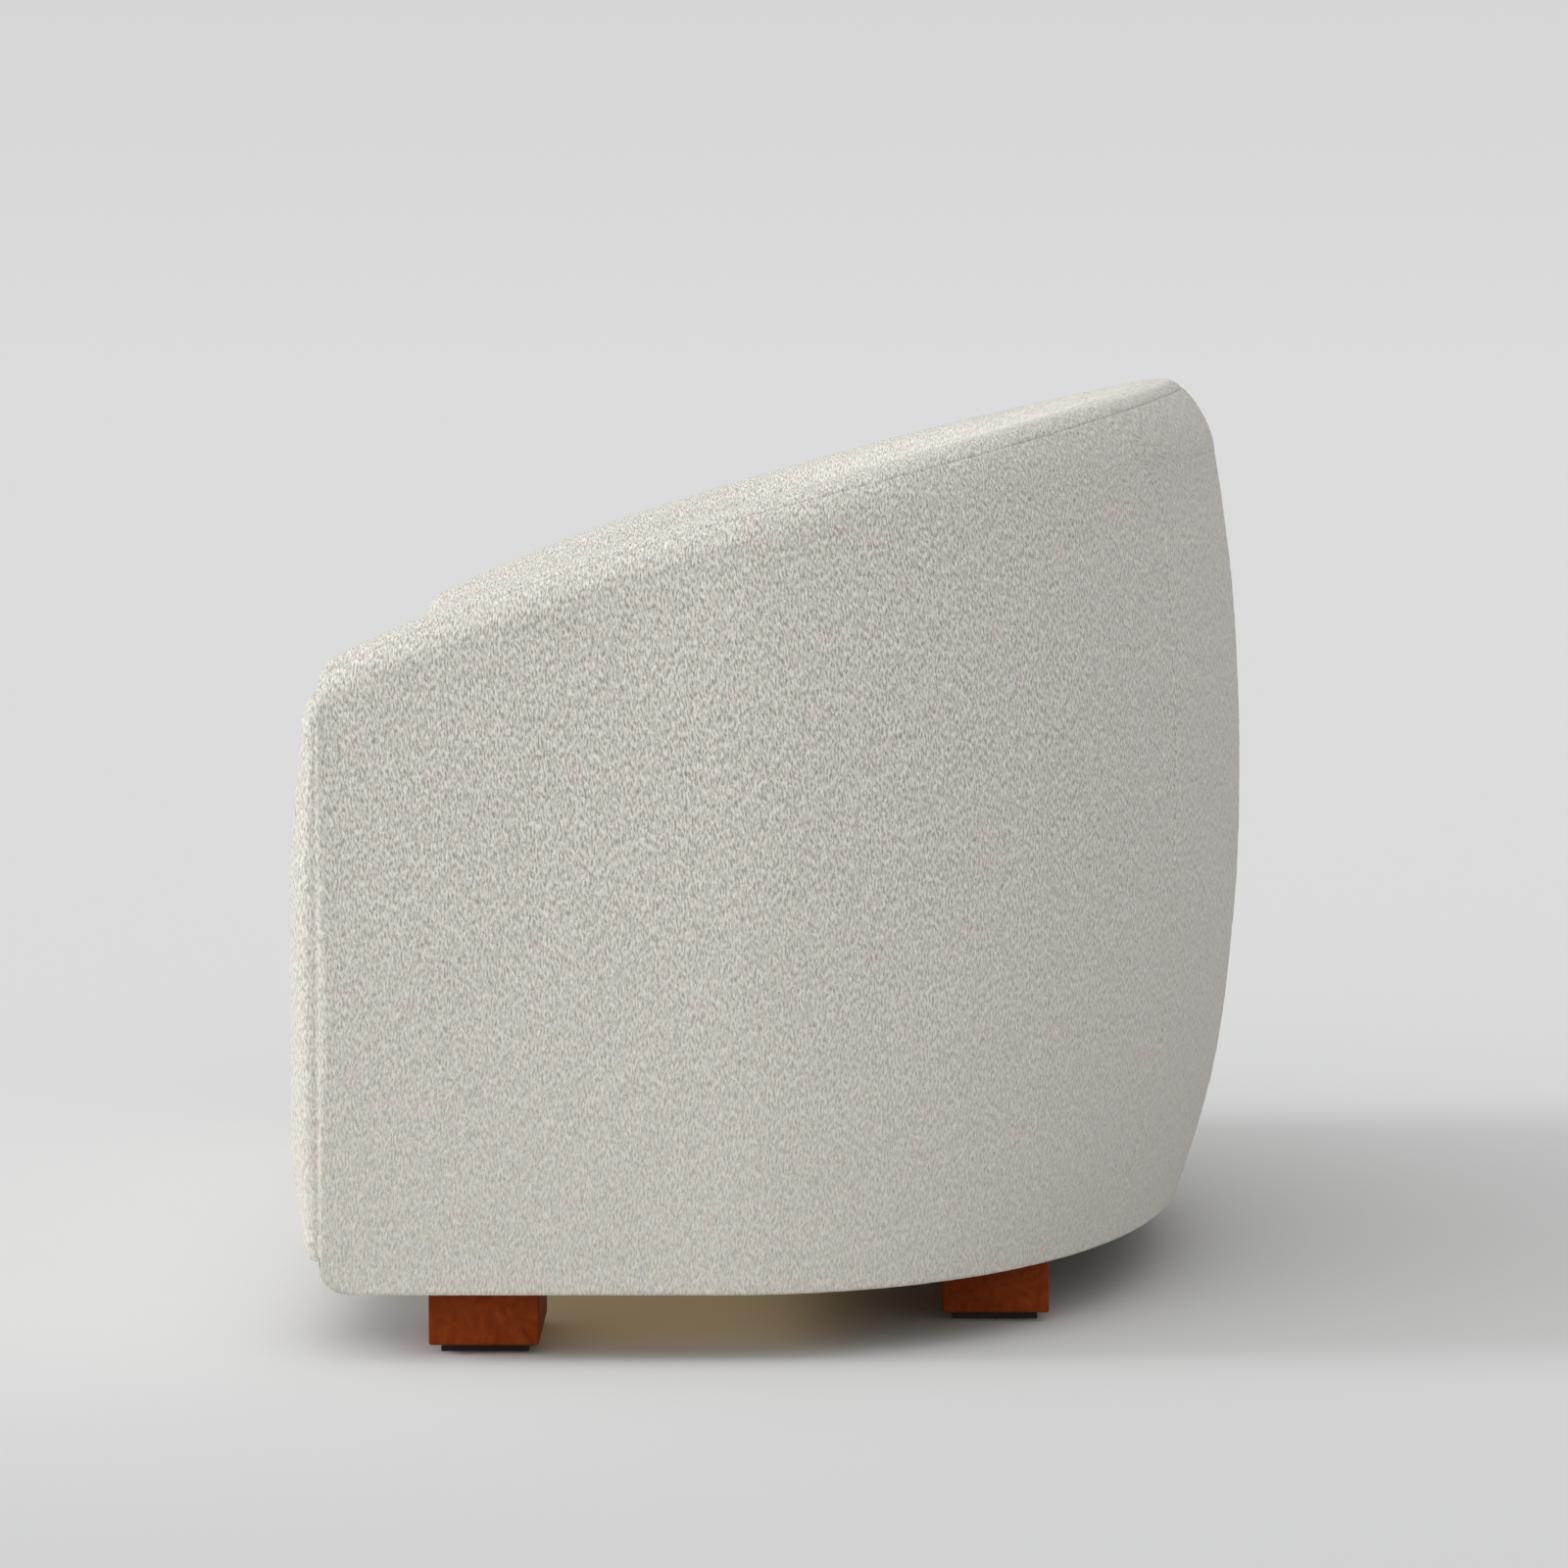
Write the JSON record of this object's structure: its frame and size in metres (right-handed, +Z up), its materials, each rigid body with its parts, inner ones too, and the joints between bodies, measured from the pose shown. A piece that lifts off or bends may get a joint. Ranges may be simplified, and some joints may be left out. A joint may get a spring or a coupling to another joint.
{
  "type": "two-seat sofa",
  "caption": "Curved sofa with a sloping wrap-round back and arms in looped-pile cloth, lift-off seat cushions and low wooden block legs.",
  "frame": {"origin": "on the floor, under the middle of the sofa's outer box", "axes": "+Z up, the sofa faces -Y, +X is the sitter's left arm, so the width over the arms lies along X"},
  "size_m": [1.5, 0.8151, 0.788],
  "materials": {
    "boucle": "looped-pile upholstery cover",
    "cushion_boucle": "looped-pile cushion cover",
    "wadding": "polyester fibre wadding",
    "foam": "polyurethane foam",
    "board": "hardboard",
    "ply": "birch plywood",
    "timber": "sawn pine",
    "leg_wood": "stained hardwood, satin lacquer",
    "webbing": "elastic webbing",
    "felt": "needled felt",
    "dust_cloth": "black non-woven cloth",
    "deck_cloth": "plain woven deck cloth",
    "spring_steel": "drawn spring wire",
    "zinc": "zinc plated steel",
    "glide": "moulded black plastic",
    "clip": "moulded nylon"
  },
  "bodies": {
    "sofa": {"arm_front_cover_left": "boucle", "arm_front_cover_right": "boucle", "arm_front_pad_left": "foam", "arm_front_pad_right": "foam", "arm_studs_left": "timber", "arm_studs_right": "timber", "arm_top_cover_left": "boucle", "arm_top_cover_right": "boucle", "arm_top_foam_left": "foam", "arm_top_foam_right": "foam", "back_studs": "timber", "back_top_cover": "boucle", "back_top_foam": "foam", "back_webbing": "webbing", "base_plate": "ply", "centre_rail": "timber", "corner_blocks": "timber", "deck_cover": "deck_cloth", "deck_pad": "wadding", "dust_cover": "dust_cloth", "front_border_cover": "boucle", "front_border_pad": "foam", "front_rail": "timber", "glide_screws": "zinc", "inside_arm_boards": "board", "inside_arm_cover_left": "boucle", "inside_arm_cover_right": "boucle", "inside_arm_foam_left": "foam", "inside_arm_foam_right": "foam", "inside_back_cover": "boucle", "inside_back_foam": "foam", "leg_bolts": "zinc", "leg_front_left": "leg_wood", "leg_front_right": "leg_wood", "leg_glides": "glide", "leg_nuts": "zinc", "leg_rear_left": "leg_wood", "leg_rear_right": "leg_wood", "outside_back_board": "board", "outside_back_cover": "boucle", "outside_back_wadding": "wadding", "seat_rail_back": "timber", "seat_rail_left": "timber", "seat_rail_right": "timber", "seat_springs": "spring_steel", "side_board_left": "board", "side_board_right": "board", "side_cover_left": "boucle", "side_cover_right": "boucle", "side_wadding_left": "wadding", "side_wadding_right": "wadding", "spring_clips": "clip", "spring_felt": "felt", "top_rail_back": "timber", "top_rail_left": "timber", "top_rail_right": "timber"},
    "seat_cushion_left": {"seat_cushion_cover_left": "cushion_boucle", "seat_cushion_core_left": "foam"},
    "seat_cushion_right": {"seat_cushion_cover_right": "cushion_boucle", "seat_cushion_core_right": "foam"}
  },
  "joints": [
    {"name": "left_cushion_lift", "type": "slide", "parent": "sofa", "child": "seat_cushion_left", "axis": [0, 0, 1], "range_m": [0, 0.35]},
    {"name": "right_cushion_lift", "type": "slide", "parent": "sofa", "child": "seat_cushion_right", "axis": [0, 0, 1], "range_m": [0, 0.35]}
  ]
}
